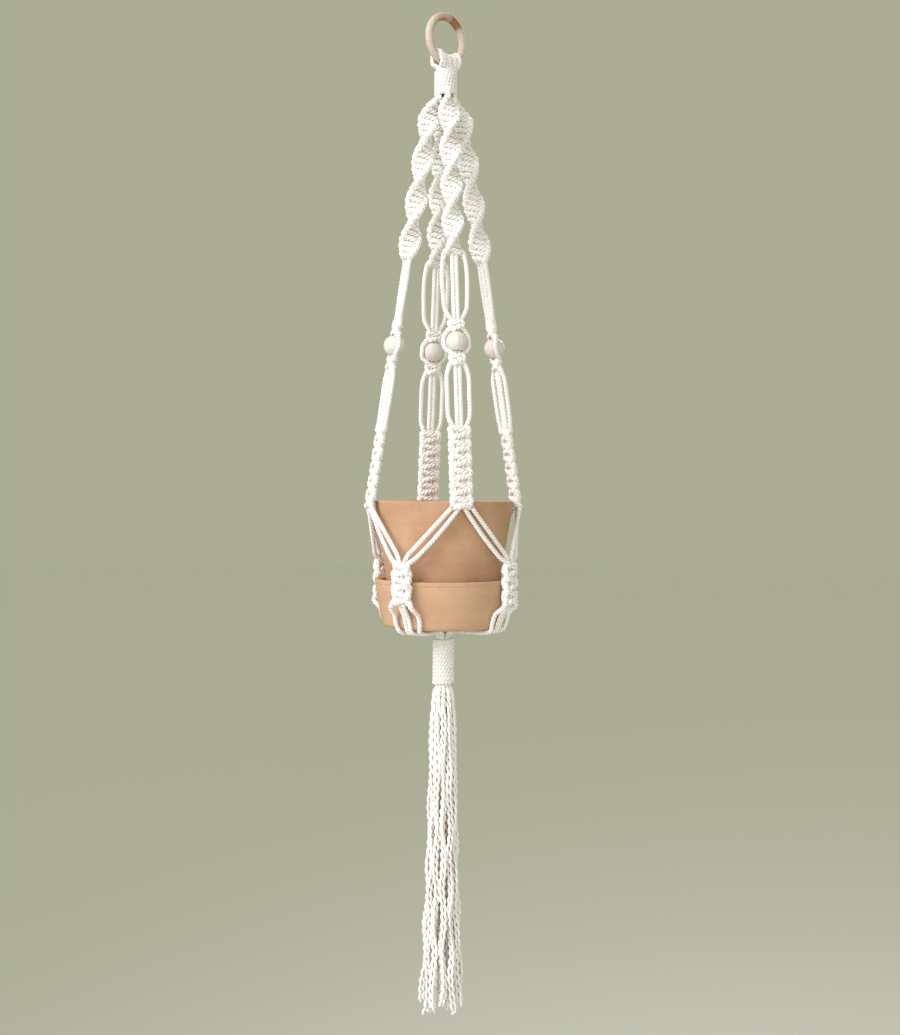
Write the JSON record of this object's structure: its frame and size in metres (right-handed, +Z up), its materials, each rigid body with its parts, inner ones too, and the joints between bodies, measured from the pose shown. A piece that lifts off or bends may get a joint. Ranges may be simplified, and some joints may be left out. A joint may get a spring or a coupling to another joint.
{
  "type": "hanging macrame planter",
  "caption": "Knotted cotton hanger on a wooden ring, with beaded arms and a tassel, carrying a terracotta pot in a deep saucer.",
  "frame": {"origin": "where the hook carries the ring: the top of the ring's hole, on the ring's centre plane", "axes": "+Z up along the hanger; the ring's hole runs along Y; the four arms stand at -31, 59, 149 and 239 degrees round Z from the -Y side"},
  "size_m": [0.186, 0.186, 1.2045],
  "materials": {
    "cotton_cord": "matte",
    "beech": "satin",
    "bead_wood": "satin",
    "terracotta": "matte"
  },
  "bodies": {
    "ring": {"hanging_ring": "beech"},
    "hanger": {"ring_loops": "cotton_cord", "top_wrap": "cotton_cord", "top_strands": "cotton_cord", "spiral_sennit_front": "cotton_cord", "filler_pair_front": "cotton_cord", "bead_cords_front": "cotton_cord", "flat_sennit_front": "cotton_cord", "spiral_sennit_right": "cotton_cord", "filler_pair_right": "cotton_cord", "bead_cords_right": "cotton_cord", "flat_sennit_right": "cotton_cord", "spiral_sennit_back": "cotton_cord", "filler_pair_back": "cotton_cord", "bead_cords_back": "cotton_cord", "flat_sennit_back": "cotton_cord", "spiral_sennit_left": "cotton_cord", "filler_pair_left": "cotton_cord", "bead_cords_left": "cotton_cord", "flat_sennit_left": "cotton_cord", "net_cords_front_right": "cotton_cord", "net_knot_front_right": "cotton_cord", "base_cords_front_right": "cotton_cord", "net_cords_back_right": "cotton_cord", "net_knot_back_right": "cotton_cord", "base_cords_back_right": "cotton_cord", "net_cords_back_left": "cotton_cord", "net_knot_back_left": "cotton_cord", "base_cords_back_left": "cotton_cord", "net_cords_front_left": "cotton_cord", "net_knot_front_left": "cotton_cord", "base_cords_front_left": "cotton_cord"},
    "bead_front": {"bead_front": "bead_wood"},
    "bead_right": {"bead_right": "bead_wood"},
    "bead_back": {"bead_back": "bead_wood"},
    "bead_left": {"bead_left": "bead_wood"},
    "saucer": {"saucer": "terracotta"},
    "pot": {"pot": "terracotta"},
    "gather": {"bottom_wrap": "cotton_cord", "bottom_strands": "cotton_cord"},
    "tassel": {"tassel_strand_01": "cotton_cord", "tassel_strand_02": "cotton_cord", "tassel_strand_03": "cotton_cord", "tassel_strand_04": "cotton_cord", "tassel_strand_05": "cotton_cord", "tassel_strand_06": "cotton_cord", "tassel_strand_07": "cotton_cord", "tassel_strand_08": "cotton_cord", "tassel_strand_09": "cotton_cord", "tassel_strand_10": "cotton_cord", "tassel_strand_11": "cotton_cord", "tassel_strand_12": "cotton_cord", "tassel_strand_13": "cotton_cord", "tassel_strand_14": "cotton_cord", "tassel_strand_15": "cotton_cord", "tassel_strand_16": "cotton_cord"}
  },
  "joints": [
    {"name": "hanger_swing", "type": "hinge", "parent": "ring", "child": "hanger", "pos_m": [0, 0, -0.05075], "axis": [1, 0, 0], "range_deg": [-15, 15]},
    {"name": "bead_spin_front", "type": "hinge", "parent": "hanger", "child": "bead_front", "pos_m": [-0.03193, -0.05314, -0.39297], "axis": [0.074, 0.1232, 0.9896], "continuous": true},
    {"name": "bead_spin_right", "type": "hinge", "parent": "hanger", "child": "bead_right", "pos_m": [0.05314, -0.03193, -0.39297], "axis": [-0.1232, 0.074, 0.9896], "continuous": true},
    {"name": "bead_spin_back", "type": "hinge", "parent": "hanger", "child": "bead_back", "pos_m": [0.03193, 0.05314, -0.39297], "axis": [-0.074, -0.1232, 0.9896], "continuous": true},
    {"name": "bead_spin_left", "type": "hinge", "parent": "hanger", "child": "bead_left", "pos_m": [-0.05314, 0.03193, -0.39297], "axis": [0.1232, -0.074, 0.9896], "continuous": true},
    {"name": "saucer_turn", "type": "hinge", "parent": "hanger", "child": "saucer", "pos_m": [0, 0, -0.7], "axis": [0, 0, 1], "continuous": true},
    {"name": "pot_lift", "type": "slide", "parent": "saucer", "child": "pot", "axis": [0, 0, 1], "range_m": [0, 0.005]},
    {"name": "gather_swing", "type": "hinge", "parent": "hanger", "child": "gather", "pos_m": [0, 0, -0.73604], "axis": [1, 0, 0], "range_deg": [-15, 15]},
    {"name": "tassel_swing", "type": "hinge", "parent": "gather", "child": "tassel", "pos_m": [0, 0, -0.80104], "axis": [0, 1, 0], "range_deg": [-20, 20]}
  ]
}
